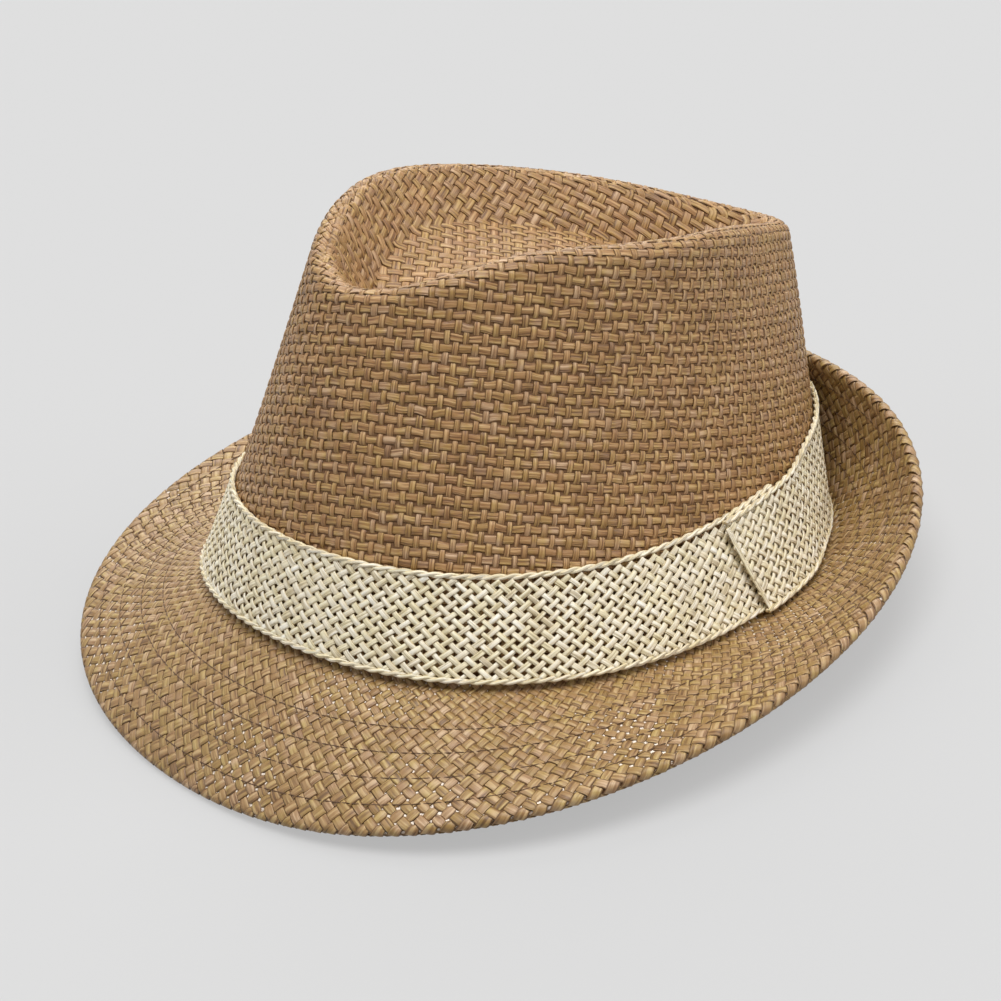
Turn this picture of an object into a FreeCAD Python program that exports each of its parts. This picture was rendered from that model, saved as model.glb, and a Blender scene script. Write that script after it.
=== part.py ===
import FreeCAD, Part
import math
import os

V = FreeCAD.Vector
UP = V(0, 0, 1)

# A short-brimmed woven paper-straw hat with a teardrop crown, a snapped brim and a braided band.
# It is drawn as it is worn: the front faces -Y, the wearer's left is +X, and the origin lies in
# the middle of the break, where the crown turns out into the brim. Last of all the hat is laid
# down as it stands on a table, with the table at Z = 0 and the hat's middle over the origin.
# A size that changes from front to back is a list of stations, evenly spaced in plan angle from
# the front to the back. Both sides are alike. All sizes are in millimetres and degrees.

# Break: the oval line where crown and brim meet, on the outside of the crown.
BREAK_FRONT = 101.0
BREAK_BACK = 102.0
BREAK_HALF_WIDTH = 86.0
BREAK_TAPER = 0.10              # wider towards the front, narrower towards the back
BREAK_FILL = 0.018              # how much squarer than an ellipse
BREAK_RISE = [0.0, -4.0, 2.0]

# Crest: the drop-shaped fold round the top of the crown.
CREST_FRONT = 65.0
CREST_BACK = 99.0
CREST_HALF_WIDTH = 44.0
CREST_TAPER = 0.40
CREST_FILL = -0.07
CREST_HEIGHT = [102.0, 113.0, 109.0, 95.0, 85.0]
CREST_RADIUS = 5.0              # of the fold, on its outside
CREST_START = 16.0              # slope at which the fold leaves the crown's side
CREST_END = 142.0               # and at which it runs into the dent
WALL_BULGE = [1.0, -4.5, 3.0]   # of the crown's side, out from a straight line

# Dent: the hollow pressed into the top of the crown, inside the crest.
FLOOR_FRONT = 50.0
FLOOR_BACK = 68.0
FLOOR_HALF_WIDTH = 31.0
FLOOR_TAPER = 0.30
FLOOR_FILL = -0.04
FLOOR_DEPTH = [21.0, 18.0, 13.0, 11.0, 10.0]    # of the floor's edge, below the crest
FLOOR_SWELL = 2.5               # rise of the floor's middle above its edge

# Brim: its width is the chord from the break to the edge, its angle that chord's slope.
BRIM_WIDTH = [51.0, 45.0, 36.0]
BRIM_ANGLE = [-50.0, -28.0, 8.0, 46.0, 80.0]
BRIM_CURL = [-10.0, 8.0, 20.0]  # half the turn between break and edge
BREAK_FLAT = 4.0                # where the brim comes out from under the band
BREAK_DROP = [4.4, 1.5, 1.5]    # of its middle layer there, below the break
COLLAR_HEIGHT = 11.0            # the brim's upstand inside the crown
COLLAR_FOOT = 1.5               # where the upstand starts to turn outwards
HEM_WIDTH = 6.0                 # of the edge turned under round its wire
STITCH_ROWS = 4
STITCH_SHARE = 0.19             # of the brim's width between the rows, counted from the edge

CROWN_CLOTH = 1.2
CROWN_FOOT = 2.0                # the crown's cut edge above the break
BRIM_CLOTH = 1.2
WIRE_DIAMETER = 1.2
THREAD_WIDTH = 0.8
THREAD_THICKNESS = 0.4

BAND_HEIGHT = 30.0              # over its two edge cords
BAND_FOOT = 0.8                 # its lower cord above the break
BAND_THICKNESS = 1.1
CORD_DIAMETER = 1.8             # of the twisted edge cords
LAP_ANGLE = 119.0               # where the band's free end shows, on the wearer's left
LAP_TURN = 32.0                 # over which the band lies double, behind its free end
LAP_EASE = 16.0                 # over which it then comes back onto the crown

SWEATBAND_HEIGHT = 32.0
SWEATBAND_FOOT = 2.0            # above the break
SWEATBAND_THICKNESS = 0.8
SEAM_HEIGHT = 5.0               # of the seam through sweatband, collar and crown
TAPE_WIDTH = 14.0               # of the tape over the sweatband's joint at the back
TAPE_THICKNESS = 0.5

SEAT = 0.3                      # clearance between pieces that lie on each other
LOOSE = 0.2                     # between the wire and the hem folded round it
COLUMNS = 72                    # of a net, in a full turn round the hat
NEAR = 0.001                    # step for taking directions off a surface


def stations(values, angle, share=1.0):
    """The smooth even curve through values spaced from the front (angle 0) to the back (pi).

    On a disc the share of the radius eases each wave of the curve towards the middle.
    """
    last = len(values) - 1
    total = 0.0
    for wave in range(last + 1):
        weight = 0.0
        for place, value in enumerate(values):
            half = 0.5 if place in (0, last) else 1.0
            weight += half * value * math.cos(math.pi * wave * place / last)
        half = 0.5 if wave in (0, last) else 1.0
        total += 2.0 / last * half * weight * math.cos(wave * angle) * share ** wave
    return total


def oval(front, back, half_width, taper, fill, angle):
    """Plan point of an egg-shaped ring: angle 0 is its front, a quarter turn the wearer's left."""
    fuller = 1.0 + fill * (1.0 - math.cos(4.0 * angle)) / 2.0
    x = half_width * math.sin(angle) * (1.0 + taper * math.cos(angle)) * fuller
    y = (back - front) / 2.0 - (back + front) / 2.0 * math.cos(angle) * fuller
    return V(x, y, 0)


def break_point(angle):
    plan = oval(BREAK_FRONT, BREAK_BACK, BREAK_HALF_WIDTH, BREAK_TAPER, BREAK_FILL, angle)
    return plan + UP * stations(BREAK_RISE, angle)


def crest_point(angle):
    plan = oval(CREST_FRONT, CREST_BACK, CREST_HALF_WIDTH, CREST_TAPER, CREST_FILL, angle)
    return plan + UP * stations(CREST_HEIGHT, angle)


def floor_point(angle, share):
    """A point of the dent's floor, from its middle (share 0) to its edge (share 1)."""
    plan = oval(FLOOR_FRONT, FLOOR_BACK, FLOOR_HALF_WIDTH, FLOOR_TAPER, FLOOR_FILL, angle)
    middle = V(0, (FLOOR_BACK - FLOOR_FRONT) / 2.0, 0)
    levels = [height - depth for height, depth in zip(CREST_HEIGHT, FLOOR_DEPTH)]
    height = stations(levels, angle, share) + FLOOR_SWELL * (1.0 - share ** 2)
    return middle + (plan - middle) * share + UP * height


def outward(ring, angle):
    """Level unit vector out of a ring."""
    step = 0.01
    run = ring(angle + step) - ring(angle - step)
    return V(run.y, -run.x, 0).normalize()


def fold_point(angle, slope):
    """A point of the crest fold, where it leans back from upright by a slope in degrees."""
    turn = math.radians(slope)
    out = outward(crest_point, angle) * math.cos(turn)
    return crest_point(angle) + (out + UP * (math.sin(turn) - 1.0)) * CREST_RADIUS


def side_point(angle, height, depth=0.0):
    """A point of the crown's side at a height above the break, a depth inside its outer face.

    The depth is square to the side, which leans in as it rises.
    """
    foot = break_point(angle)
    rise = fold_point(angle, CREST_START) - foot
    share = height / rise.z
    bulge = stations(WALL_BULGE, angle) * 4.0
    out = outward(break_point, angle)
    lean = rise.dot(out) + bulge * (1.0 - 2.0 * share)
    level_depth = depth * math.hypot(lean, rise.z) / rise.z
    return foot + rise * share + out * (bulge * share * (1.0 - share) - level_depth)


def crown_point(angle, place):
    """The crown's outer face: 0 to 1 up its side, to 2 over the crest, to 3 down the dent's side,
    and to 4 across the floor to its middle.
    """
    if place <= 1.0:
        rise = fold_point(angle, CREST_START).z - break_point(angle).z
        return side_point(angle, CROWN_FOOT + (rise - CROWN_FOOT) * place)
    if place <= 2.0:
        return fold_point(angle, CREST_START + (CREST_END - CREST_START) * (place - 1.0))
    if place <= 3.0:
        top = fold_point(angle, CREST_END)
        return top + (floor_point(angle, 1.0) - top) * (place - 2.0)
    return floor_point(angle, 4.0 - place)


def section(angle, out, up):
    """A point in the upright section through the break at an angle."""
    return break_point(angle) + outward(break_point, angle) * out + UP * up


def brim_point(angle, share, lift=0.0):
    """A point of the brim from under the band (share 0) to the edge (share 1).

    It is lifted off the middle layer. The brim bows, so its slope changes along its width.
    """
    width = stations(BRIM_WIDTH, angle)
    fall = math.radians(stations(BRIM_ANGLE, angle))
    run = width * math.cos(fall) - BREAK_FLAT
    drop = stations(BREAK_DROP, angle)
    rise = width * math.sin(fall) + drop
    curl = math.radians(stations(BRIM_CURL, angle))
    bow = 2.0 * share * (1.0 - share) * math.tan(curl / 2.0)
    slope = math.atan2(rise, run) + curl * (2.0 * share - 1.0)
    out = BREAK_FLAT + run * share + bow * rise - lift * math.sin(slope)
    up = -drop + rise * share - bow * run + lift * math.cos(slope)
    return section(angle, out, up)


def in_from_edge(angle, distance):
    """Share of the brim at a distance from its edge."""
    return 1.0 - distance / (brim_point(angle, 1.0) - brim_point(angle, 0.0)).Length


def hem_radius():
    """Of the turned edge's middle layer round the wire."""
    return WIRE_DIAMETER / 2.0 + LOOSE + BRIM_CLOTH / 2.0


def wire_point(angle):
    return brim_point(angle, in_from_edge(angle, hem_radius()), -hem_radius())


def hem_point(angle, place):
    """The hem's middle layer: 0 to 1 round the wire, to 2 along the underside of the brim."""
    radius = hem_radius()
    if place <= 1.0:
        turn = math.pi * place
        share = in_from_edge(angle, radius * (1.0 - math.sin(turn)))
        return brim_point(angle, share, radius * (math.cos(turn) - 1.0))
    along = place - 1.0
    share = in_from_edge(angle, radius + (HEM_WIDTH - radius) * along)
    near = BRIM_CLOTH + SEAT
    ease = (1.0 + math.cos(math.pi * along)) / 2.0
    return brim_point(angle, share, -near - (2.0 * radius - near) * ease)


def collar_point(angle, place):
    """The brim's middle layer inside the crown: 0 to 1 down the collar, to 2 out to the brim."""
    inset = CROWN_CLOTH + SEAT + BRIM_CLOTH / 2.0
    if place <= 1.0:
        return side_point(angle, COLLAR_HEIGHT + (COLLAR_FOOT - COLLAR_HEIGHT) * place, inset)
    along = place - 1.0
    start = side_point(angle, COLLAR_FOOT, inset)
    down = (start - side_point(angle, COLLAR_HEIGHT, inset)).normalize()
    end = brim_point(angle, 0.0)
    reach = (end - start).Length / 2.0
    ahead = (brim_point(angle, 0.01) - end).normalize()
    turns = (start, start + down * reach, end - ahead * reach, end)
    weights = ((1 - along) ** 3, 3 * along * (1 - along) ** 2, 3 * along ** 2 * (1 - along), along ** 3)
    return sum((point * weight for point, weight in zip(turns, weights)), V())


def cloth_point(angle, place):
    """The brim's middle layer: 0 to 2 as its collar, to 3 across the brim, to 5 round the hem."""
    if place <= 2.0:
        return collar_point(angle, place)
    if place <= 3.0:
        return brim_point(angle, in_from_edge(angle, hem_radius()) * (place - 2.0))
    return hem_point(angle, place - 3.0)


def sweatband_point(angle, place):
    """The sweatband's outer face, from its foot (0) to its top (1)."""
    depth = CROWN_CLOTH + BRIM_CLOTH + 2.0 * SEAT
    return side_point(angle, SWEATBAND_FOOT + SWEATBAND_HEIGHT * place, depth)


def lap_lift(angle):
    """How far the band stands off the crown: its free end lies over its other end."""
    past = math.degrees(angle) - LAP_ANGLE - LAP_TURN
    ease = min(max(past / LAP_EASE, 0.0), 1.0)
    return (CORD_DIAMETER + SEAT) * (1.0 - ease * ease * (3.0 - 2.0 * ease))


def band_point(angle, place):
    """The outer face of the band between its cords, from its foot (0) to its top (1)."""
    low = BAND_FOOT + CORD_DIAMETER + SEAT
    high = BAND_FOOT + BAND_HEIGHT - CORD_DIAMETER - SEAT
    middle = SEAT + CORD_DIAMETER / 2.0 + lap_lift(angle)
    return side_point(angle, low + (high - low) * place, -middle - BAND_THICKNESS / 2.0)


def lower_cord_point(angle):
    stand = SEAT + CORD_DIAMETER / 2.0 + lap_lift(angle)
    return side_point(angle, BAND_FOOT + CORD_DIAMETER / 2.0, -stand)


def upper_cord_point(angle):
    stand = SEAT + CORD_DIAMETER / 2.0 + lap_lift(angle)
    return side_point(angle, BAND_FOOT + BAND_HEIGHT - CORD_DIAMETER / 2.0, -stand)


class Turn:
    """A stretch of angles round the hat, in degrees, or by default the full turn."""

    def __init__(self, first=0.0, last=360.0):
        self.closed = last - first == 360.0
        steps = max(math.ceil((last - first) / 360.0 * COLUMNS), 5)
        count = steps if self.closed else steps + 1
        self.angles = [math.radians(first + (last - first) * i / steps) for i in range(count)]

    def row(self, point, *sizes):
        return [point(angle, *sizes) for angle in self.angles]

    def face(self, rows):
        """Smooth face over rows of poles: two rows are joined straight, four as one curve."""
        columns = len(rows[0])
        across = [len(rows)] * 2
        along = [1] * (columns + 1) if self.closed else [4] + [1] * (columns - 4) + [4]
        face = Part.BSplineSurface()
        face.buildFromPolesMultsKnots(rows, across, along, [0.0, 1.0],
                                      [float(i) for i in range(len(along))],
                                      False, self.closed, len(rows) - 1, 3)
        return face.toShape()

    def strip(self, point, low, high, depth):
        """Rows of one smooth strip of the surface a depth behind another, between two places."""
        rows = [[], [], [], []]
        near = (high - low) * NEAR
        for angle in self.angles:
            start, leave = back_face(point, angle, low, depth)
            end, arrive = back_face(point, angle, high, depth)
            bare = point(angle, high) - point(angle, low)
            scale = (end - start).Length / bare.Length / NEAR / 3.0
            leave *= scale * (point(angle, low + near) - point(angle, low)).Length
            arrive *= scale * (point(angle, high) - point(angle, high - near)).Length
            for row, pole in zip(rows, (start, start + leave, end - arrive, end)):
                row.append(pole)
        return rows

    def disc(self, row):
        """Level face inside a closed row."""
        edge = Part.BSplineCurve()
        edge.buildFromPolesMultsKnots(row, [1] * (len(row) + 1),
                                      [float(i) for i in range(len(row) + 1)], True, 3)
        return Part.Face(Part.Wire(edge.toShape()))


def back_face(point, angle, place, depth):
    """The point a depth behind a surface, and the way on across it, evened out where two
    stretches of the surface meet.
    """
    here = point(angle, place)
    before = here - point(angle, place - NEAR)
    after = point(angle, place + NEAR) - here
    ahead = (before.normalize() + after.normalize()).normalize()
    along = point(angle + NEAR, place) - point(angle - NEAR, place)
    return here - along.cross(ahead).normalize() * depth, ahead


def behind(point, depth):
    return lambda angle, place: back_face(point, angle, place, depth)[0]


def solid(faces):
    shell = Part.Shell(faces)
    shell.sewShape()
    body = Part.makeSolid(shell)
    if body.Volume < 0:
        body.reverse()
    return body


def cloth(point, front, back, places, turn=Turn(), level=False):
    """Solid of one cloth between the surfaces at depths front and back behind a surface.

    Its faces part at the places. A level one ends in a flat face at the last place.
    """
    faces = []
    ends = []
    for depth in (front, back):
        strips = [turn.strip(point, low, high, depth) for low, high in zip(places, places[1:])]
        if level:
            last = strips[-1][-1]
            height = sum(pole.z for pole in last) / len(last)
            strips[-1][-1] = [V(pole.x, pole.y, height) for pole in last]
            faces.append(turn.disc(strips[-1][-1]))
        faces += [turn.face(rows) for rows in strips]
        ends.append((strips[0][0], strips[-1][-1], strips))
    faces.append(turn.face([ends[0][0], ends[1][0]]))
    if not level:
        faces.append(turn.face([ends[0][1], ends[1][1]]))
    if not turn.closed:
        for end in (0, -1):
            for front_rows, back_rows in zip(ends[0][2], ends[1][2]):
                faces.append(end_face([row[end] for row in front_rows],
                                      [row[end] for row in back_rows]))
    return solid(faces)


def end_face(front, back):
    """Ruled face between two curves of four poles."""
    face = Part.BSplineSurface()
    face.buildFromPolesMultsKnots([front, back], [2, 2], [4, 4], [0.0, 1.0], [0.0, 1.0],
                                  False, False, 1, 3)
    return face.toShape()


def cord(point, diameter, turn=Turn(), sides=8):
    """Cord round the hat with an eight-sided section."""
    rows = []
    for side in range(sides + 1):
        lean = 2.0 * math.pi * (side % sides) / sides
        row = []
        for angle in turn.angles:
            out = outward(point, angle) * math.cos(lean)
            row.append(point(angle) + (out + UP * math.sin(lean)) * diameter / 2.0)
        rows.append(row)
    faces = [turn.face([low, high]) for low, high in zip(rows, rows[1:])]
    if not turn.closed:
        for end in (0, -1):
            faces.append(Part.Face(Part.makePolygon([row[end] for row in rows])))
    return solid(faces)


def thread(point, place, width, turn=Turn()):
    """Flat thread lying on a surface."""
    low, high = place - width / 2.0, place + width / 2.0
    near, far = behind(point, -SEAT), behind(point, -SEAT - THREAD_THICKNESS)
    rows = [turn.row(near, low), turn.row(near, high), turn.row(far, high), turn.row(far, low)]
    return solid([turn.face([rows[i - 1], rows[i]]) for i in range(4)])


def stitch_rows():
    def upper_face(angle, place):
        return brim_point(angle, 1.0 - place, BRIM_CLOTH / 2.0)
    width = THREAD_WIDTH / stations(BRIM_WIDTH, math.pi / 2.0)
    places = [STITCH_SHARE * (row + 1) for row in range(STITCH_ROWS)]
    return Part.makeCompound([thread(upper_face, place, width) for place in places])


def resting(pieces):
    """The pieces as the hat stands: on the brim's front edge and the back of the break, with the
    origin on the table under the middle of the hat.
    """
    points = pieces["brim"].tessellate(0.1)[0]
    low, high = 0.0, math.radians(20.0)
    for _ in range(30):
        tilt = (low + high) / 2.0
        front = min(p.z * math.cos(tilt) - p.y * math.sin(tilt) for p in points if p.y < 0)
        back = min(p.z * math.cos(tilt) - p.y * math.sin(tilt) for p in points if p.y >= 0)
        if front < back:
            low = tilt
        else:
            high = tilt
    depths = [p.y * math.cos(tilt) + p.z * math.sin(tilt) for p in points]
    middle = (min(depths) + max(depths)) / 2.0
    for body in pieces.values():
        body.rotate(V(), V(1, 0, 0), -math.degrees(tilt))
        body.translate(V(0, -middle, -min(front, back)))
    return pieces


def main():
    band_turn = Turn(LAP_ANGLE, LAP_ANGLE + 360.0 + LAP_TURN)
    tape_half = math.degrees(TAPE_WIDTH / 2.0 / BREAK_BACK)
    seam = behind(sweatband_point, SWEATBAND_THICKNESS)
    seam_place = (SEAM_HEIGHT - SWEATBAND_FOOT) / SWEATBAND_HEIGHT
    tape_back = SWEATBAND_THICKNESS + SEAT
    pieces = {
        "crown": cloth(crown_point, 0.0, CROWN_CLOTH,
                       [0.0, 0.25, 0.5, 0.75, 1.0, 1.33, 1.67, 2.0, 2.6, 3.0, 3.3, 3.8],
                       level=True),
        "brim": cloth(cloth_point, -BRIM_CLOTH / 2.0, BRIM_CLOTH / 2.0,
                      [0.0, 1.0, 1.5, 2.0, 2.33, 2.67, 3.0, 3.25, 3.5, 3.75, 4.0, 4.5, 5.0]),
        "brim_edge_wire": cord(wire_point, WIRE_DIAMETER),
        "brim_stitch_rows": stitch_rows(),
        "sweatband": cloth(sweatband_point, 0.0, SWEATBAND_THICKNESS, [0.0, 1.0]),
        "sweatband_stitching": thread(lambda a, s: seam(a, 1.0 - s), 1.0 - seam_place,
                                      THREAD_WIDTH / SWEATBAND_HEIGHT),
        "sweatband_joint_tape": cloth(sweatband_point, tape_back, tape_back + TAPE_THICKNESS,
                                      [seam_place + 0.06, 0.98], Turn(180.0 - tape_half, 180.0 + tape_half)),
        "hat_band": cloth(band_point, 0.0, BAND_THICKNESS, [0.0, 1.0], band_turn),
        "band_edge_cord_upper": cord(upper_cord_point, CORD_DIAMETER, band_turn),
        "band_edge_cord_lower": cord(lower_cord_point, CORD_DIAMETER, band_turn),
    }
    os.makedirs("parts", exist_ok=True)
    for name, body in resting(pieces).items():
        body.exportStep("parts/" + name + ".step")


main()
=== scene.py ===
import math

import bpy
import numpy as np
from mathutils import Matrix, Vector


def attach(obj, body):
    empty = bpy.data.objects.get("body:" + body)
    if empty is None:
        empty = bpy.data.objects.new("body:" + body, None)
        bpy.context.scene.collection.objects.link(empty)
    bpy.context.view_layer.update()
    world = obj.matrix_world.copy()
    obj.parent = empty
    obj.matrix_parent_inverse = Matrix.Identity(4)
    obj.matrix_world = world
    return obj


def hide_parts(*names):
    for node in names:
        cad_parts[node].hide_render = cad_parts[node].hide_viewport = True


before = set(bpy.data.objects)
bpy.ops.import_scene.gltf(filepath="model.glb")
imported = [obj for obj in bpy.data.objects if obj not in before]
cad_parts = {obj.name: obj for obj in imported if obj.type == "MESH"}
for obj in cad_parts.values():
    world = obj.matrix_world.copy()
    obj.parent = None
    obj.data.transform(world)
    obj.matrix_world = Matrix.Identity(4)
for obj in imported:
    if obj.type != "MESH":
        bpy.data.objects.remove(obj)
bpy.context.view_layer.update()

# A short-brimmed hat of woven paper straw. Every strand is modelled: the crown is a plain weave,
# the brim a bias weave with its edge turned under, and the band an open braid between twisted
# cords. Shapes are worked out in millimetres as the hat is worn, then laid down on the table.

TILT = math.radians(9.407)      # of the hat as it stands, from how it is worn
SHIFT, LIFT = 10.927, 18.437
MM = 0.001

# An oval is its front, back, half width, taper, and how much fuller it is than an ellipse. Other
# rows of values are evenly spaced from the front of the hat to its back.
BREAK = (101.0, 102.0, 86.0, 0.10, 0.018)       # where crown and brim meet
BREAK_RISE = (0.0, -4.0, 2.0)
CREST = (65.0, 99.0, 44.0, 0.40, -0.07)         # the fold round the crown's top
CREST_HEIGHT = (102.0, 113.0, 109.0, 95.0, 85.0)
CREST_RADIUS = 5.0
CREST_START, CREST_END = 16.0, 142.0            # slopes at which the fold starts and ends
WALL_BULGE = (1.0, -4.5, 3.0)                   # of the crown's side, out from straight
FLOOR = (50.0, 68.0, 31.0, 0.30, -0.04)         # of the dent
FLOOR_DEPTH = (21.0, 18.0, 13.0, 11.0, 10.0)    # below the crest
FLOOR_SWELL = 2.5                               # rise of its middle above its edge
FLOOR_MIDDLE = np.array([0.0, (FLOOR[1] - FLOOR[0]) / 2.0, 0.0])
CROWN_FOOT = 2.0
BRIM_WIDTH = (51.0, 45.0, 36.0)
BRIM_ANGLE = (-50.0, -28.0, 8.0, 46.0, 80.0)
BRIM_CURL = (-10.0, 8.0, 20.0)  # half the turn between break and edge
BREAK_FLAT = 4.0                # where the brim comes out from under the band
BREAK_DROP = (4.4, 1.5, 1.5)    # of its middle layer there, below the break
CLOTH = 1.2                     # thickness of crown and brim
COLLAR_HEIGHT, COLLAR_FOOT = 11.0, 1.5
HEM_WIDTH = 6.0
HEM_RADIUS = 1.4
STITCH_ROWS = 4
STITCH_SHARE = 0.19             # of the brim's width between rows, counted from the edge
SEAT = 0.3                      # between pieces that lie on each other
BAND_FOOT, BAND_HEIGHT, CORD_DIAMETER = 0.8, 30.0, 1.8
LAP_ANGLE, LAP_TURN, LAP_EASE = 102.2, 17.0, 16.0       # where, how far double, and its easing
LAP_SLANT = 7.0                 # of the band's cut ends, from its upper to its lower edge
SWEATBAND_FOOT, SWEATBAND_HEIGHT, SWEATBAND_THICKNESS = 2.0, 32.0, 0.8
SEAM_HEIGHT = 5.0
TAPE_WIDTH, TAPE_THICKNESS = 14.0, 0.5          # the width as a turn, so 9.3 mm in fact

CAMERA_ANGLE = math.radians(53.4)
CAMERA_RISE = math.radians(24.3)
CAMERA_ROLL = math.radians(-0.98)
CAMERA_DISTANCE = 1326.0
CAMERA_LENS = 152.4
CAMERA_SHIFT = (-0.0245, 0.0415)

FULL_TURN = 2.0 * math.pi
NEARBY = 0.01                   # step for taking directions off a line

chance = np.random.default_rng(7)


# ---------------------------------------------------------------- shape, in mm, as worn

def unit(v):
    return v / np.maximum(np.linalg.norm(v, axis=-1, keepdims=True), 1e-12)


def stations(values, angle, share=1.0):
    """The smooth even curve through values evenly spaced from the front to the back."""
    last = len(values) - 1
    ends = np.ones(last + 1)
    ends[0] = ends[-1] = 0.5
    total = 0.0
    for wave in range(last + 1):
        weight = sum(ends[k] * values[k] * math.cos(math.pi * wave * k / last)
                     for k in range(last + 1))
        total = total + 2.0 / last * ends[wave] * weight * np.cos(wave * angle) * share ** wave
    return total


def up(height):
    height = np.asarray(height, float)
    return np.stack([0 * height, 0 * height, height], -1)


def oval(shape, angle):
    front, back, half_width, taper, fill = shape
    fuller = 1.0 + fill * (1.0 - np.cos(4.0 * angle)) / 2.0
    x = half_width * np.sin(angle) * (1.0 + taper * np.cos(angle)) * fuller
    y = (back - front) / 2.0 - (back + front) / 2.0 * np.cos(angle) * fuller
    return np.stack([x, y, 0 * x], -1)


def break_line(angle):
    return oval(BREAK, angle) + up(stations(BREAK_RISE, angle))


def crest_line(angle):
    return oval(CREST, angle) + up(stations(CREST_HEIGHT, angle))


def outward(line, angle):
    run = line(angle + NEARBY) - line(angle - NEARBY)
    return unit(np.stack([run[..., 1], -run[..., 0], 0 * run[..., 0]], -1))


def col(values):
    return np.asarray(values)[..., None]


def fold(angle, slope):
    turn = np.radians(slope)
    out = outward(crest_line, angle) * col(np.cos(turn))
    return crest_line(angle) + CREST_RADIUS * (out + up(np.sin(turn) - 1.0 + 0 * angle))


def side(angle, height, out=0.0):
    """The crown's side at a height above the break, stood off by out, square to the side."""
    foot = break_line(angle)
    rise = fold(angle, CREST_START) - foot
    share = height / rise[..., 2]
    bulge = stations(WALL_BULGE, angle) * 4.0
    away = outward(break_line, angle)
    lean = (rise * away).sum(-1) + bulge * (1.0 - 2.0 * share)
    level_out = out * np.hypot(lean, rise[..., 2]) / rise[..., 2]
    return foot + rise * col(share) + away * col(bulge * share * (1.0 - share) + level_out)


def crown(angle, place):
    """Outer face: 0 to 1 up the side, to 2 over the crest, to 3 down the dent, to 4 its middle."""
    rise = (fold(angle, CREST_START) - break_line(angle))[..., 2]
    wall = side(angle, CROWN_FOOT + (rise - CROWN_FOOT) * np.minimum(place, 1.0))
    turn = np.clip(place - 1.0, 0.0, 1.0)
    over = fold(angle, CREST_START + (CREST_END - CREST_START) * turn)
    share = np.clip(4.0 - place, 0.0, 1.0)
    levels = [h - d for h, d in zip(CREST_HEIGHT, FLOOR_DEPTH)]
    floor = FLOOR_MIDDLE + (oval(FLOOR, angle) - FLOOR_MIDDLE) * col(share)
    floor = floor + up(stations(levels, angle, share) + FLOOR_SWELL * (1.0 - share ** 2))
    top = fold(angle, CREST_END)
    edge = oval(FLOOR, angle) + up(stations(levels, angle))
    dent = top + (edge - top) * col(np.clip(place - 2.0, 0.0, 1.0))
    p = col(place)
    return np.where(p <= 1, wall, np.where(p <= 2, over, np.where(p <= 3, dent, floor)))


def brim(angle, share, lift=0.0):
    """The brim's middle layer from under the band (0) to the edge (1)."""
    width = stations(BRIM_WIDTH, angle)
    fall = np.radians(stations(BRIM_ANGLE, angle))
    drop = stations(BREAK_DROP, angle)
    run = width * np.cos(fall) - BREAK_FLAT
    rise = width * np.sin(fall) + drop
    curl = np.radians(stations(BRIM_CURL, angle))
    bow = 2.0 * share * (1.0 - share) * np.tan(curl / 2.0)
    slope = np.arctan2(rise, run) + curl * (2.0 * share - 1.0)
    out = BREAK_FLAT + run * share + bow * rise - lift * np.sin(slope)
    high = -drop + rise * share - bow * run + lift * np.cos(slope)
    return break_line(angle) + outward(break_line, angle) * col(out) + up(high)


def from_edge(angle, distance):
    chord = np.linalg.norm(brim(angle, 1.0) - brim(angle, 0.0), axis=-1)
    return 1.0 - distance / chord


def brim_cloth(angle, place):
    """Middle layer: -2 to 0 as its collar inside the crown, to 1 across the brim, to 2 round the
    wire, and to 3 back under the brim.
    """
    flat = brim(angle, from_edge(angle, HEM_RADIUS) * np.clip(place, 0.0, 1.0))
    turn = math.pi * np.clip(place - 1.0, 0.0, 1.0)
    rolled = brim(angle, from_edge(angle, HEM_RADIUS * (1.0 - np.sin(turn))),
                  HEM_RADIUS * (np.cos(turn) - 1.0))
    along = np.clip(place - 2.0, 0.0, 1.0)
    near = CLOTH + SEAT
    ease = (1.0 + np.cos(math.pi * along)) / 2.0
    under = brim(angle, from_edge(angle, HEM_RADIUS + (HEM_WIDTH - HEM_RADIUS) * along),
                 -near - (2.0 * HEM_RADIUS - near) * ease)
    p = col(place)
    return np.where(p < 0, collar(angle, place + 2.0),
                    np.where(p <= 1, flat, np.where(p <= 2, rolled, under)))


def collar(angle, place):
    """Middle layer inside the crown: 0 to 1 down the upstand, to 2 out to the brim."""
    inset = -1.5 * CLOTH - SEAT
    upright = side(angle, COLLAR_HEIGHT + (COLLAR_FOOT - COLLAR_HEIGHT) * np.clip(place, 0.0, 1.0),
                   inset)
    start = side(angle, COLLAR_FOOT + 0 * angle, inset)
    down = unit(start - side(angle, COLLAR_HEIGHT + 0 * angle, inset))
    end = brim(angle, 0.0)
    reach = np.linalg.norm(end - start, axis=-1, keepdims=True) / 2.0
    ahead = unit(brim(angle, NEARBY) - end)
    t = col(np.clip(place - 1.0, 0.0, 1.0))
    bend = (start * (1 - t) ** 3 + (start + down * reach) * 3 * t * (1 - t) ** 2
            + (end - ahead * reach) * 3 * t ** 2 * (1 - t) + end * t ** 3)
    return np.where(col(place) <= 1, upright, bend)


def lap_lift(angle):
    """How far the band stands off the crown where its free end lies over its other end."""
    past = (np.degrees(angle) - LAP_ANGLE - LAP_TURN) / LAP_EASE
    ease = np.clip(past, 0.0, 1.0)
    return (CORD_DIAMETER + SEAT) * (1.0 - ease * ease * (3.0 - 2.0 * ease))


def to_table(points):
    """From the hat as worn, in mm, to the hat as it stands, in metres."""
    x, y, z = points[..., 0], points[..., 1], points[..., 2]
    c, s = math.cos(TILT), math.sin(TILT)
    return np.stack([x, y * c + z * s + SHIFT, z * c - y * s + LIFT], -1) * MM


# ---------------------------------------------------------------- cloth laid out flat

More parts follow.
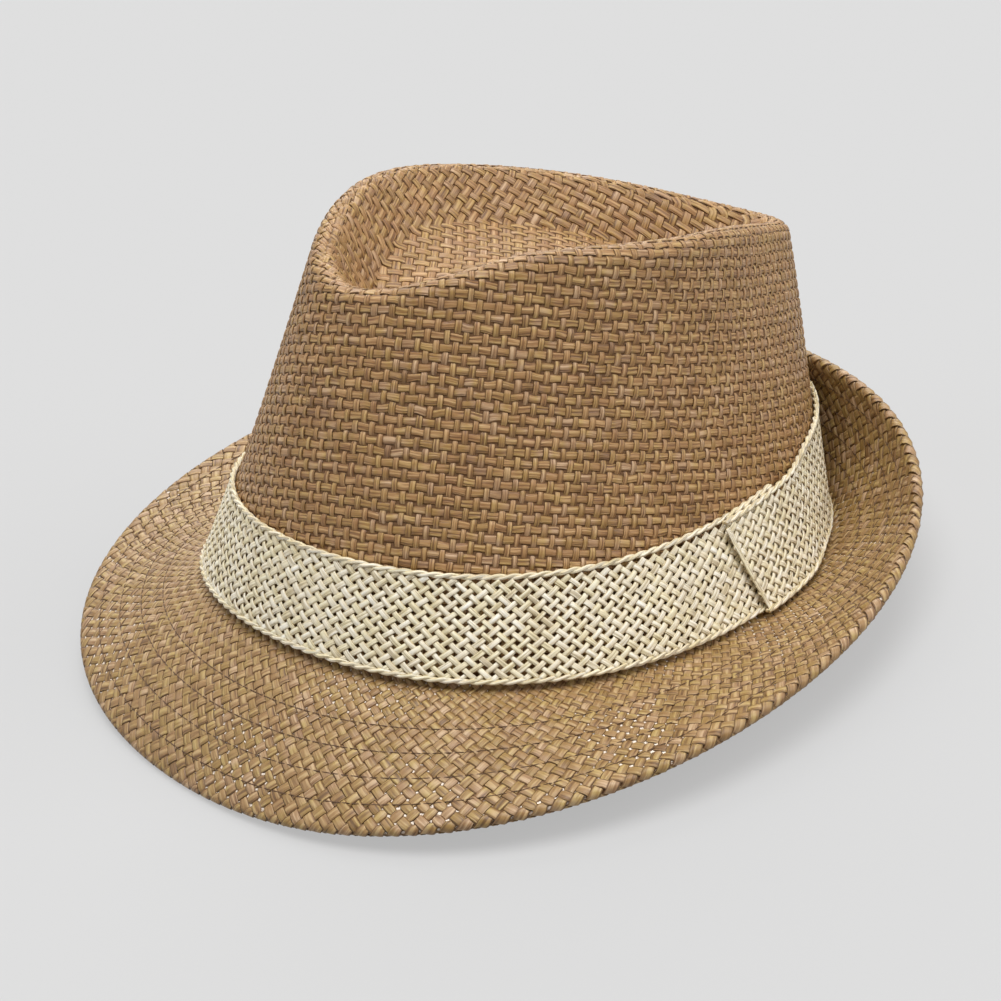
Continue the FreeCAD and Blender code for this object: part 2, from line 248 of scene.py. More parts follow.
class Cloth:
    """A surface laid out by angle and by distance along its section, both evenly spaced."""
    STEP = 0.5
    SPARE = 2.0                 # laid out beyond the cloth's end

    def __init__(self, surface, angles, places, reverse=False):
        self.angles = angles
        a, p = np.meshgrid(angles, places, indexing="ij")
        points = surface(a, p)
        length = np.linalg.norm(np.diff(points, axis=1), axis=-1).cumsum(1)
        length = np.concatenate([0 * length[:, :1], length], 1)
        if reverse:
            length = length[:, -1:] - length
        self.ends = length.max(1)
        marks = np.arange(0.0, self.ends.max() + self.SPARE, self.STEP)
        self.points = np.empty((len(angles), len(marks), 3))
        for row in range(len(angles)):
            order = np.argsort(length[row])
            for axis in range(3):
                self.points[row, :, axis] = np.interp(marks, length[row][order],
                                                      points[row, order, axis])
            beyond = marks > self.ends[row]
            if beyond.any():
                last = np.flatnonzero(~beyond)[-1]
                lead = self.points[row, last] - self.points[row, last - 1]
                extra = (marks[beyond] - marks[last])[:, None] / self.STEP
                self.points[row, beyond] = self.points[row, last] + lead * extra
        along = np.gradient(self.points, axis=0)
        across = np.gradient(self.points, axis=1)
        self.normals = unit(np.cross(along, across)) * (-1.0 if reverse else 1.0)

    def look_up(self, table, angle, distance):
        i = np.interp(angle, self.angles, np.arange(len(self.angles)))
        j = np.clip(distance / self.STEP, 0, table.shape[1] - 1.001)
        i0 = np.minimum(i.astype(int), len(self.angles) - 2)
        j0 = j.astype(int)
        fi, fj = i - i0, j - j0
        if table.ndim == 3:
            fi, fj = col(fi), col(fj)
        low = table[i0, j0] * (1 - fj) + table[i0, j0 + 1] * fj
        high = table[i0 + 1, j0] * (1 - fj) + table[i0 + 1, j0 + 1] * fj
        return low * (1 - fi) + high * fi

    def at(self, angle, distance):
        return (self.look_up(self.points, angle, distance),
                unit(self.look_up(self.normals, angle, distance)))

    def end(self, angle):
        return np.interp(angle, self.angles, self.ends)


class Ring:
    """Angles spaced by true length round a line, in turns of a given count."""
    STEPS = 2401

    def __init__(self, line, count, first=0.0, last=FULL_TURN):
        self.fine = np.linspace(first, last, self.STEPS)
        points = line(self.fine)
        length = np.linalg.norm(np.diff(points, axis=0), axis=-1).cumsum()
        self.share = np.concatenate([[0.0], length]) / length[-1] * count
        self.length = length[-1]
        self.count = count

    def angle(self, index):
        whole = np.floor(index / self.count)
        rest = index - whole * self.count
        return np.interp(rest, self.share, self.fine) % FULL_TURN

    def straight(self, index):
        return np.interp(index, self.share, self.fine)


# ---------------------------------------------------------------- strands

# Sections of a strand, each with six corners: flat straw, and round thread or cord.
FLAT = ((-1.0, 0.0), (-0.62, 0.5), (0.62, 0.5), (1.0, 0.0), (0.62, -0.5), (-0.62, -0.5))
ROUND = [(math.cos(k * math.pi / 3), 0.5 * math.sin(k * math.pi / 3)) for k in range(6)]
PATTERN_RUN = 900               # mm of the straw's pattern, in which each strand starts anywhere


class Strands:
    """Gathers strands and makes them into one mesh."""

    def __init__(self, thickness, section=FLAT):
        self.thickness = thickness
        self.section = np.array(section)
        self.points, self.faces, self.tone = [], [], []
        self.along, self.caps = [], []
        self.count = 0

    def add(self, centre, normal, width):
        """One strand along a line of points, as wide as width, flat against the normal."""
        n = len(centre)
        if n < 3:
            return
        run = unit(np.gradient(centre, axis=0))
        across = unit(np.cross(run, normal))
        lift = unit(np.cross(across, run))
        width = np.broadcast_to(width, (n,))
        sides = len(self.section)
        w = self.section[None, :, 0, None] * width[:, None, None] / 2.0
        h = self.section[None, :, 1, None] * self.thickness
        body = centre[:, None] + across[:, None] * w + lift[:, None] * h
        self.points.append(body.reshape(-1, 3))
        ring = np.arange(sides)
        here = self.count + np.arange(n - 1)[:, None] * sides
        quads = np.stack([here + ring, here + (ring + 1) % sides,
                          here + sides + (ring + 1) % sides, here + sides + ring], -1)
        self.faces.append(quads.reshape(-1, 4))
        tail = self.count + (n - 1) * sides
        for start, turn in ((self.count, 1), (tail, -1)):
            self.caps += [[start, start + 5, start + 4, start + 3][::turn],
                          [start, start + 3, start + 2, start + 1][::turn]]
        steps = np.linalg.norm(np.diff(centre, axis=0), axis=-1)
        along = np.concatenate([[0.0], steps.cumsum()]) + chance.uniform(0, PATTERN_RUN)
        self.along.append(np.stack([along[:-1], along[1:]], -1))
        self.tone.append(np.full(n * sides, chance.random()))
        self.count += n * sides

    def piece(self, name, material):
        sides = len(self.section)
        points = to_table(np.concatenate(self.points))
        faces = np.concatenate([*self.faces, np.array(self.caps)])
        me = bpy.data.meshes.new(name)
        me.vertices.add(len(points))
        me.vertices.foreach_set("co", points.ravel())
        me.loops.add(faces.size)
        me.loops.foreach_set("vertex_index", faces.ravel())
        me.polygons.add(len(faces))
        me.polygons.foreach_set("loop_start", np.arange(0, faces.size, 4))
        me.polygons.foreach_set("use_smooth", np.ones(len(faces), bool))
        layer = me.attributes.new("tone", "FLOAT", "POINT")
        layer.data.foreach_set("value", np.concatenate(self.tone).astype(np.float32))
        along = np.concatenate(self.along)
        ring = np.tile(np.arange(sides), len(along))
        ends = np.zeros((len(self.caps), 4, 2))
        start, stop = np.repeat(along[:, 0], sides), np.repeat(along[:, 1], sides)
        fibre = np.stack([np.stack([start, start, stop, stop], -1),
                          np.stack([ring, ring + 1, ring + 1, ring], -1) / sides], -1)
        self.lay_map(me, "fibre", np.concatenate([fibre, ends]))
        wide = int(math.sqrt(len(along) * (sides + 1))) + 1
        seg = np.repeat(np.arange(len(along)), sides)
        u, v = seg % wide, seg // wide * (sides + 1) + ring
        tall = (len(along) // wide + 1) * (sides + 1)
        atlas = np.stack([np.stack([u, u, u + 1, u + 1], -1) / wide,
                          np.stack([v, v + 1, v + 1, v], -1) / tall], -1)
        self.lay_map(me, "OFBake", np.concatenate([atlas, ends]))
        me.update(calc_edges=True)
        me.validate()
        return add_piece(name, me, material)

    @staticmethod
    def lay_map(me, name, values):
        layer = me.uv_layers.new(name=name)
        layer.uv.foreach_set("vector", values.astype(np.float32).ravel())


def add_piece(name, me, material):
    ob = bpy.data.objects.new(name, me)
    bpy.context.scene.collection.objects.link(ob)
    ob.data.materials.append(material)
    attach(ob, "root")
    return ob


def openness(points):
    """0 where the brim is woven tight to 1 where it is loose, in patches about 40 mm across."""
    x, y = points[..., 0], points[..., 1]
    swell = (np.sin(x / 13.0 + 1.3 * np.sin(y / 19.0))
             * np.sin(y / 11.0 + 1.1 * np.sin(x / 23.0 + 1.0)))
    return np.clip((swell + 0.35) / 0.8, 0.0, 1.0)


def behind(points, depth):
    """A grid of points that runs right round the hat, moved in by depth."""
    padded = np.concatenate([points[-1:], points, points[:1]])
    along = padded[2:] - padded[:-2]
    across = np.gradient(points, axis=1)
    return points - unit(np.cross(along, across)) * depth


def full_turn(count):
    return np.linspace(0.0, FULL_TURN, count + 1)[:-1]


def spread(first, *spans):
    """Values from first on, evenly spaced within each span, which is its end and its count."""
    parts = []
    for last, count in spans:
        parts.append(np.linspace(first, last, count)[1 if parts else 0:])
        first = last
    return np.concatenate(parts)


def grid(angles, places):
    return np.meshgrid(angles, places, indexing="ij")


def shell(name, front, back, material, closed=True):
    """Closed cloth between two grids of points, which run round the hat and then up it."""
    rows, columns = front.shape[:2]
    points = to_table(np.concatenate([front.reshape(-1, 3), back.reshape(-1, 3)]))
    index = np.arange(rows * columns).reshape(rows, columns)
    other = index + rows * columns
    faces = []

    def quads(a, b, c, d):
        faces.append(np.stack([a, b, c, d], -1).reshape(-1, 4))

    nxt = np.roll(index, -1, 0) if closed else index[1:]
    nxo = np.roll(other, -1, 0) if closed else other[1:]
    here, there = (index, other) if closed else (index[:-1], other[:-1])
    quads(here[:, :-1], nxt[:, :-1], nxt[:, 1:], here[:, 1:])
    quads(there[:, :-1], there[:, 1:], nxo[:, 1:], nxo[:, :-1])
    quads(here[:, 0], there[:, 0], nxo[:, 0], nxt[:, 0])
    quads(here[:, -1], nxt[:, -1], nxo[:, -1], there[:, -1])
    if not closed:
        quads(index[0, :-1], index[0, 1:], other[0, 1:], other[0, :-1])
        quads(index[-1, :-1], other[-1, :-1], other[-1, 1:], index[-1, 1:])
    faces = np.concatenate(faces)
    me = bpy.data.meshes.new(name)
    me.from_pydata(points.tolist(), [], faces.tolist())
    me.polygons.foreach_set("use_smooth", np.ones(len(me.polygons), bool))
    loose = openness(np.concatenate([front.reshape(-1, 3), back.reshape(-1, 3)]))
    layer = me.attributes.new("openness", "FLOAT", "POINT")
    layer.data.foreach_set("value", loose.astype(np.float32))
    me.update()
    return add_piece(name, me, material)


def brick(x, dwell=0.0):
    """A wave that dwells at its top and bottom, as a strand does over and under another."""
    return np.clip(1.9 * np.cos(math.pi * x) + dwell, -1.0, 1.0)


def runs(keep):
    """Start and stop of each stretch where keep holds."""
    edges = np.flatnonzero(np.diff(np.concatenate([[0], keep.astype(int), [0]])))
    return edges.reshape(-1, 2)


def drift(index, step):
    """A smooth random line through index, from -1 to 1, that changes over about step."""
    phases = chance.uniform(0.0, FULL_TURN, 3)
    return sum(np.sin(index / step * rate + phase)
               for rate, phase in zip((1.0, 1.7, 2.9), phases)) / 3.0


ROUND_AGAIN = 6.28              # a turn at which a straw counts as running right round
SHORTEST = 4                    # points in a strand that is worth laying
DIVE_DEPTH = 0.55               # of a cut end, mm


def weave(strands, cloth, angle, distance, keep, height, depth, width, dive=0):
    """Lays one strand over a cloth, cut where keep fails. Cut ends dive into the cloth."""
    if keep.all() and angle[-1] - angle[0] > ROUND_AGAIN:
        dive = 0                # a straw that runs right round meets itself
    for first, last in runs(keep):
        if last - first < SHORTEST:
            continue
        a, d, h = angle[first:last], distance[first:last], height[first:last].copy()
        w = np.broadcast_to(width, angle.shape)[first:last]
        if dive:
            n = np.arange(last - first)
            near = np.minimum(n, last - first - 1 - n)
            h = h - DIVE_DEPTH * np.clip(1.0 - near / dive, 0.0, 1.0)
        centre, normal = cloth.at(a, d)
        strands.add(centre + normal * col(h - depth), normal, w)


# ---------------------------------------------------------------- materials

def linear(colour):
    """An sRGB hex colour as linear RGBA."""
    parts = [int(colour[i:i + 2], 16) / 255.0 for i in (0, 2, 4)]
    return tuple(c / 12.92 if c <= 0.04045 else ((c + 0.055) / 1.055) ** 2.4
                 for c in parts) + (1.0,)


def node(tree, kind, settings=(), links=()):
    """Adds a node: settings are its properties, socket values or colour stops, and links feed its
    sockets.
    """
    made = tree.nodes.new(kind)
    for key, value in dict(settings).items():
        if key == "stops":
            band = made.color_ramp.elements
            while len(band) < len(value):
                band.new(0.5)
            for stop, (at, colour) in zip(band, value):
                stop.position, stop.color = at, linear(colour)
        elif isinstance(key, str) and hasattr(made, key):
            setattr(made, key, value)
        else:
            made.inputs[key].default_value = value
    for key, source in dict(links).items():
        tree.links.new(source, made.inputs[key])
    return made


def finish(name, roughness, build, **values):
    """A material whose colour, the height its bump shows and that bump's depth in metres come
    from build.
    """
    material = bpy.data.materials.new(name)
    material.use_nodes = True
    tree = material.node_tree
    tree.nodes.clear()
    colour, height, depth = build(tree)
    settings = {"Roughness": roughness, **values}
    links = {"Base Color": colour}
    if height is not None:
        bump = node(tree, "ShaderNodeBump", {"Strength": 1.0, "Distance": depth},
                    {"Height": height})
        links["Normal"] = bump.outputs["Normal"]
    shader = node(tree, "ShaderNodeBsdfPrincipled", settings, links)
    node(tree, "ShaderNodeOutputMaterial", {}, {"Surface": shader.outputs[0]})
    return material


FOLDS_ALONG = 0.06              # per mm: a fold runs for about 17 mm of a straw
TONE_SHARE = 0.16               # how far whole straws differ from each other
FINE_GRAIN = 900.0              # over the hat's width: about 0.3 mm
BACKING_GRAIN = 260.0           # over the hat's width: about 1 mm


def straw(shades, folds_and_highlights, painted_edge_shade, fine, drift_length):
    """Shades drift along each straw over drift_length mm. Its fold streaks are fine, counted round
    it, and are partly painted highlights; its edges are darkened as painted shade.
    """
    def build(tree):
        where = node(tree, "ShaderNodeUVMap", {"uv_map": "fibre"}).outputs["UV"]
        fields = []
        for scale, detail in (((1.0 / drift_length, 0.0, 0.0), 1.0),
                              ((FOLDS_ALONG, fine, 1.0), 2.0)):
            scaled = node(tree, "ShaderNodeMapping", {"vector_type": "POINT", "Scale": scale},
                          {"Vector": where})
            field = node(tree, "ShaderNodeTexNoise",
                         {"noise_dimensions": "2D", "Scale": 1.0, "Detail": detail,
                          "Roughness": 0.6}, {"Vector": scaled.outputs["Vector"]})
            fields.append(field.outputs["Fac"])
        tone = node(tree, "ShaderNodeAttribute", {"attribute_name": "tone"})
        shade = node(tree, "ShaderNodeMath", {"operation": "MULTIPLY_ADD", 1: TONE_SHARE},
                     {0: tone.outputs["Fac"], 2: fields[0]})
        across = node(tree, "ShaderNodeSeparateXYZ", {}, {"Vector": where})
        edge = node(tree, "ShaderNodeMath", {"operation": "PINGPONG", 1: 0.25},
                    {0: across.outputs["Y"]})
        colour = node(tree, "ShaderNodeValToRGB", {"stops": shades}, {"Fac": shade.outputs[0]})
        colour = colour.outputs["Color"]
        for stops, field in ((folds_and_highlights, fields[1]),
                             ([(0.0, painted_edge_shade), (0.11, "FFFFFF")], edge.outputs[0])):
            layer = node(tree, "ShaderNodeValToRGB", {"stops": stops}, {"Fac": field})
            mixed = node(tree, "ShaderNodeMix",
                         {"data_type": "RGBA", "blend_type": "MULTIPLY", 0: 1.0},
                         {6: colour, 7: layer.outputs["Color"]})
            colour = mixed.outputs[2]
        return colour, fields[1], 0.0003
    return build


def plain(colour):
    """Two close shades in a fine grain."""
    def build(tree):
        grain = node(tree, "ShaderNodeTexNoise", {"Scale": FINE_GRAIN, "Detail": 2.0})
        shade = node(tree, "ShaderNodeValToRGB",
                     {"stops": [(0.3, colour[0]), (0.7, colour[1])]}, {"Fac": grain.outputs["Fac"]})
        return shade.outputs["Color"], grain.outputs["Fac"], 0.0001
    return build


def backing(tight, loose):
    """Painted shade between the straws: tight where the weave is close, loose where it is open."""
    def build(tree):
        grain = node(tree, "ShaderNodeTexNoise", {"Scale": BACKING_GRAIN, "Detail": 1.0})
        open_weave = node(tree, "ShaderNodeAttribute", {"attribute_name": "openness"})
        both = node(tree, "ShaderNodeMath", {"operation": "MULTIPLY_ADD", 1: 0.5},
                    {0: open_weave.outputs["Fac"], 2: grain.outputs["Fac"]})
        shade = node(tree, "ShaderNodeValToRGB",
                     {"stops": [(0.35, tight), (0.75, tight), (0.95, loose)]},
                     {"Fac": both.outputs[0]})
        return shade.outputs["Color"], grain.outputs["Fac"], 0.0001
    return build


def ribbed(colour, period):
    """Ribs that run up the tape, period mm apart."""
    def build(tree):
        where = node(tree, "ShaderNodeTexCoord")
        turn = node(tree, "ShaderNodeVectorMath",
                    {"operation": "SUBTRACT", 1: (0.0, SHIFT * MM, 0.0)},
                    {0: where.outputs["Object"]})
        parts = node(tree, "ShaderNodeSeparateXYZ", {}, {"Vector": turn.outputs[0]})
        heading = node(tree, "ShaderNodeMath", {"operation": "ARCTAN2"},
                       {0: parts.outputs["Y"], 1: parts.outputs["X"]})
        ribs = node(tree, "ShaderNodeMath",
                    {"operation": "MULTIPLY", 1: 2.0 * math.pi * MEAN_RADIUS / period},
                    {0: heading.outputs[0]})
        wave = node(tree, "ShaderNodeMath", {"operation": "SINE"}, {0: ribs.outputs[0]})
        level = node(tree, "ShaderNodeMath", {"operation": "MULTIPLY_ADD", 1: 0.5, 2: 0.5},
                     {0: wave.outputs[0]})
        shade = node(tree, "ShaderNodeValToRGB",
                     {"stops": [(0.0, colour[0]), (0.6, colour[1])]}, {"Fac": level.outputs[0]})
        return shade.outputs["Color"], level.outputs[0], 0.0002
    return build


# Darkens each straw's edges: painted shade where the straws meet.
PAINTED_EDGE_SHADE = "A08A74"
MEAN_RADIUS = 92.0              # of the head opening, mm
# Paper straw: kraft paper folded flat and dyed before weaving. Matt, with fine folds along it,
# and a shade that wanders between pink, tan and green as the dye took. The folds are 0.2 mm
# apart, drawn 0.5 mm apart so that they show, and their bright streaks are painted highlights.
CROWN_TAN = [(0.28, "B58E64"), (0.42, "BC9666"), (0.52, "BE996A"), (0.62, "B8975D"),
             (0.74, "C09F7B")]
# The brim's straw is the crown's drawn a little greyer: painted sheen of the light from above.
BRIM_TAN_PAINTED_SHEEN = [(0.28, "AF9066"), (0.42, "B49568"), (0.52, "B7996B"), (0.62, "B2975D"),
            (0.74, "BC9E7A")]
# Streaks of the folds, drawn partly as painted highlights.
FOLDS_AND_HIGHLIGHTS = [(0.3, "94806C"), (0.42, "CDBDAA"), (0.54, "DDD2C4"), (0.64, "FFFFFF")]
crown_straw = finish("woven_dyed_paper_straw_crown", 0.43,
                     straw(CROWN_TAN, FOLDS_AND_HIGHLIGHTS, PAINTED_EDGE_SHADE, 11.0, 11.0))
brim_straw_painted_sheen = finish("woven_paper_straw_brim_painted_sheen", 0.45,
                    straw(BRIM_TAN_PAINTED_SHEEN, FOLDS_AND_HIGHLIGHTS, PAINTED_EDGE_SHADE, 9.0, 14.0))
# A sheet behind the straws: brown as painted shade in the gaps, pale as painted light through the
# brim's holes.
crown_gap_shade = finish("painted_gap_shade_crown", 0.8, backing("6A4A2C", "6A4A2C"))
brim_gap_shade_and_light = finish("painted_gap_shade_and_light_brim", 0.8, backing("6E4E30", "F0E2D2"))
# Bleached flat straw, split and plaited: pale, with a faint yellow or grey cast and fine grain.
PALE = [(0.28, "EAE1C6"), (0.4, "F1E9D4"), (0.52, "F5EFE0"), (0.64, "EEE6C8"), (0.74, "F8F4E8")]
# Streaks of the band straw's folds, drawn partly as painted highlights.
PALE_FOLDS_AND_HIGHLIGHTS = [(0.3, "C4B9A4"), (0.44, "EDE6D8"), (0.58, "FBF8F2"), (0.7, "FFFFFF")]
# Darkens each band straw's edges: painted shade where the straws meet.
PALE_PAINTED_EDGE_SHADE = "ECE2C8"
band_straw = finish("plaited_bleached_straw", 0.5, straw(PALE, PALE_FOLDS_AND_HIGHLIGHTS, PALE_PAINTED_EDGE_SHADE, 7.0, 18.0))
# Polyester sewing thread, twisted and dyed darker than the straw: a dull dashed line on the brim,
# mottled by its twist. The plies are 0.2 mm apart, drawn 0.3 mm apart so that they show.
thread_brown = finish("twisted_sewing_thread", 0.6, plain(("4E3520", "644628")))
# Grosgrain: a tape woven with thick ribs across it, so that it curves smoothly round the head.
grosgrain = finish("woven_grosgrain", 0.75, ribbed(("3E2C1E", "644A34"), 1.1))
# Spring wire, drawn through a die: smooth, with an even grey shine that is a little soft.
wire_steel = finish("drawn_spring_wire", 0.35, plain(("8C8C8C", "9C9C9C")), Metallic=1.0)


# ---------------------------------------------------------------- crown

CROWN_WARPS = 178               # 2.8 mm apart where they are evenly spaced
WEFT_PITCH = 3.2
WARP_WIDTH, WEFT_WIDTH = 2.0, 2.55
TOP_PITCH, TOP_COLUMN = 2.8, 3.7
TOP_WEFT_WIDTH, TOP_WARP_WIDTH = 2.45, 2.8
TOP_HEADING = CAMERA_ANGLE - math.radians(9.6)
STRAW = 0.5
WARP_WAVE, WEFT_WAVE, TOP_WAVE = 0.38, 0.18, 0.2        # half of a strand's rise and fall
WARP_WANDER = 0.0028            # of a warp to either side, as a turn about the middle
WARP_SPREAD = 1.25              # most that a warp widens where they fan out
WEFT_DWELL = 0.8                # wefts lie long on top and dip short under each warp
WEAVE_TURN, WEAVE_FRONT = 0.37, math.radians(38.5)      # how the blocked cloth lies askew
WALL_RADIUS = 88.0
WARPS_EVEN_AT = 55.0            # how far up the wall the warps are evenly spaced
BESIDE = 0.02                   # turn to the point that a warp's spacing is taken to
WALL_END, DENT_START = 1.72, 1.5        # where the two cloths overlap, on the crest
NEARLY_MIDDLE = 3.999           # of the dent, where the sections would meet in one point
WEFT_POINTS = 1000
TOP_LINES = 52                  # each side of the dent's middle
CUT_END = 3                     # points over which a cut end dives
BACKING_HALF = 0.05             # of the backing's thickness
DEPTH = CLOTH / 2.0
around = np.linspace(0.0, FULL_TURN, 721)

wall_cloth = Cloth(crown, around, spread(0, (1, 60), (WALL_END, 30)))
warps = Ring(break_line, CROWN_WARPS)
crown_strands = Strands(STRAW)


def lean(angle, distance):
    """Where a warp that passes angle at WARPS_EVEN_AT has got to, distance further up the wall."""
    half = np.tan((angle - WEAVE_FRONT) / 2.0) * np.exp(WEAVE_TURN * distance / WALL_RADIUS)
    return WEAVE_FRONT + 2.0 * np.arctan(half)


def weft_rise(angle):
    """How far a weft has dropped from its highest place, which is at WEAVE_FRONT."""
    return WEAVE_TURN * WALL_RADIUS * (1.0 - np.cos(angle - WEAVE_FRONT))


for warp in range(CROWN_WARPS):
    distance = np.arange(0.0, wall_cloth.ends.max(), WEFT_PITCH / 4.0)
    start = float(warps.angle(np.array(warp + 0.0)))
    above_even = distance - WARPS_EVEN_AT
    path = lean(start, above_even)
    angles = (path + WARP_WANDER * drift(distance, 7.0)) % FULL_TURN
    keep = distance < wall_cloth.end(angles)
    beside = wall_cloth.at(lean(start + BESIDE, above_even) % FULL_TURN, distance)[0]
    here = wall_cloth.at(path % FULL_TURN, distance)[0]
    local = np.linalg.norm(beside - here, axis=-1)
    share = np.minimum(local / local[np.abs(above_even).argmin()], WARP_SPREAD)
    rows = (distance + weft_rise(angles)) / WEFT_PITCH
    weave(crown_strands, wall_cloth, angles, distance, keep, WARP_WAVE * brick(rows + warp), DEPTH,
          WARP_WIDTH * chance.uniform(0.85, 1.12) * (0.3 + 0.7 * share)
          * (1.0 + 0.1 * drift(distance, 6.0)), dive=CUT_END)
angles = np.linspace(0.0, FULL_TURN, WEFT_POINTS)
highest = wall_cloth.ends.max() + weft_rise(WEAVE_FRONT + math.pi)
for row in range(int(highest / WEFT_PITCH) + 1):
    distance = row * WEFT_PITCH - weft_rise(angles)
    for waves in chance.integers(3, 60, 5):         # ripples of 0.1 mm along the row
        distance += 0.1 * np.sin(angles * waves + chance.uniform(0, 6))
    swell = 0.08 * np.sin(angles * chance.integers(40, 70) + chance.uniform(0, 6))
    keep = (distance < wall_cloth.end(angles)) & (distance >= 0)
    start = lean(angles, WARPS_EVEN_AT - distance) % FULL_TURN
    index = np.interp(start, warps.fine, warps.share)
    turned_to = np.arange(WEFT_POINTS)
    if not keep.all():          # a straw with ends starts where it is cut, not at the front
        turned_to = (turned_to[:-1] + int(keep.argmin())) % (WEFT_POINTS - 1)
    weave(crown_strands, wall_cloth, angles[turned_to], distance[turned_to], keep[turned_to],
          WEFT_WAVE * brick(index + row + 1, WEFT_DWELL)[turned_to], DEPTH,
          WEFT_WIDTH * chance.uniform(0.92, 1.06) * (1.0 + swell)[turned_to], dive=CUT_END)

dent_cloth = Cloth(crown, around, spread(DENT_START, (2, 20), (3, 24), (NEARLY_MIDDLE, 30)),
                   reverse=True)
rim = oval(CREST, around) - FLOOR_MIDDLE
heading = np.unwrap(np.arctan2(rim[:, 0], -rim[:, 1]))
for family in (0, 1):
    for line in range(-TOP_LINES, TOP_LINES + 1):
        along = np.arange(-TOP_LINES * 4, TOP_LINES * 4 + 1) / 4.0
        u, v = (along, 0 * along + line) if family == 0 else (0 * along + line, along)
        x, y = u * TOP_COLUMN, v * TOP_PITCH
        c, s = math.cos(TOP_HEADING), math.sin(TOP_HEADING)
        px, py = x * c - y * s, x * s + y * c
        reach = np.hypot(px, py)
        direction = np.arctan2(px, -py) % FULL_TURN
        angles = np.interp(direction, heading, around)
        keep = reach < dent_cloth.end(angles)
        sign = 1.0 if family == 0 else -1.0
        weave(crown_strands, dent_cloth, angles, reach, keep,
              sign * TOP_WAVE * brick(along + line), DEPTH,
              (TOP_WEFT_WIDTH, TOP_WARP_WIDTH)[family] * chance.uniform(0.92, 1.06)
              * (1.0 + 0.09 * drift(along, 2.0)), dive=CUT_END)
crown_weave = crown_strands.piece("crown_weave", crown_straw)
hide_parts("crown")

outer = crown(*grid(full_turn(240), spread(0, (1, 24), (2, 14), (3, 8), (NEARLY_MIDDLE, 8))))
# A sheet behind the straws; its brown is painted shade in the gaps between them.
crown_ground = shell("crown_ground_cloth", behind(outer, DEPTH - BACKING_HALF),
                     behind(outer, DEPTH + BACKING_HALF), crown_gap_shade)

# ---------------------------------------------------------------- brim

BRIM_STRANDS = 162              # each way, 3.2 mm apart in the middle of the brim
BRIM_STRAW_WIDTH = 3.05
BRIM_WAVE = 0.22
BRIM_WANDER = 0.0022
MID_BRIM = 0.55                 # share of the width at which the straws are evenly spaced
HEM_TURN = 10.0                 # of cloth at its free end, all as long round as the edge
COLLAR_TURN = 17.0              # of cloth at its other end, which shrinks into the collar
COLLAR_TAPER = 20.0             # how much less round the top of the collar is
LOOSENED = 0.34                 # most that a straw narrows where the weave is loose
MARKS = 400
brim_table = Cloth(brim_cloth, around,
                   spread(-2, (-1, 6), (0, 12), (1, 60), (2, 16), (3, 12)), reverse=True)
brim_ring = Ring(lambda a: brim(a, MID_BRIM), BRIM_STRANDS)
edge_ring = Ring(lambda a: brim(a, 1.0), 1)
inner_ring = Ring(lambda a: brim(a, 0.0), 1)
widest = brim_table.ends.max()
marks = np.linspace(0, widest, MARKS)
girth = np.interp(marks, [0, HEM_TURN, widest - COLLAR_TURN, widest],
                  [edge_ring.length, edge_ring.length, inner_ring.length,
                   inner_ring.length - COLLAR_TAPER])
steps = np.diff(marks) * BRIM_STRANDS / (girth[1:] + girth[:-1]) * 4
turned = np.concatenate([[0.0], steps.cumsum()])
brim_strands = Strands(STRAW)
for way in (1.0, -1.0):
    for strand in range(BRIM_STRANDS):
        t = np.arange(0.0, turned[-1], 0.25)
        distance = np.interp(t, turned, marks)
        angles = brim_ring.angle(strand + way * t / 2.0)
        keep = distance < brim_table.end(angles)
        angles = angles + BRIM_WANDER * drift(t, 3.0)
        local = np.interp(distance, marks, girth) / girth[MARKS // 2]
        pinch = np.maximum(0.0, -np.cos(FULL_TURN * t))
        loose = openness(brim_table.at(angles, distance)[0])
        weave(brim_strands, brim_table, angles, distance, keep, way * BRIM_WAVE * brick(t), 0.0,
              BRIM_STRAW_WIDTH * chance.uniform(0.93, 1.04) * local
              * (1.0 - loose * pinch * chance.uniform(0.0, LOOSENED, len(t))
                 + 0.04 * drift(t, 2.0)))
brim_weave = brim_strands.piece("brim_weave", brim_straw_painted_sheen)
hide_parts("brim")
middle = brim_cloth(*grid(full_turn(240), spread(-2, (-1, 4), (0, 9), (1, 24), (2, 9), (3, 6))))
# A sheet behind the straws; its brown is painted shade in the gaps, and its pale patches are
# painted light seen through the holes.
brim_ground = shell("brim_ground_cloth", behind(middle, -BACKING_HALF),
                    behind(middle, BACKING_HALF), brim_gap_shade_and_light)

# ---------------------------------------------------------------- band

BRAID_RUN, BRAID_RISE = 4.45, 3.6       # the braid's repeat along the band and up it
BRAID_WIDTH, BRAID_THICKNESS = 1.72, 0.42
BRAID_WAVE = 0.24
BRAID_CLOSED, BRAID_OPENING = 1.1, 0.12         # a straw's share of its width, and its change
BRAID_OPEN_AT = math.radians(50.0)      # pulled most open here and at each quarter turn on
BRAID_SPARE = 12                # straws past each end, which cross the slanted cuts
FOLD_INSET, FOLD_PITCH = 0.55, 0.9      # of the two straws along the cut end's fold
FOLD_WIDTH = 1.15
CORD_PLY, CORD_PLY_THICKNESS = 1.25, 1.15       # one ply's width and thickness
CORD_LAY = 9.2                  # mm in which the plies go once round each other
CORD_OFFSET = 0.42              # of a ply from the cord's middle
CORD_POINTS = 1600
EDGE_SHARE = 0.75               # of a cord that the braid stops short by
slant = math.radians(LAP_SLANT) / 2.0
band_first = math.radians(LAP_ANGLE)
band_last = math.radians(LAP_ANGLE + 360.0 + LAP_TURN)
band_low = BAND_FOOT + CORD_DIAMETER * EDGE_SHARE
band_high = BAND_FOOT + BAND_HEIGHT - CORD_DIAMETER * EDGE_SHARE


def on_band(angle, height):
    """The band's middle layer."""
    return side(angle, height, SEAT + CORD_DIAMETER / 2.0 + lap_lift(angle))


def band_surface(angle, place):
    return on_band(angle, band_low + (band_high - band_low) * place)


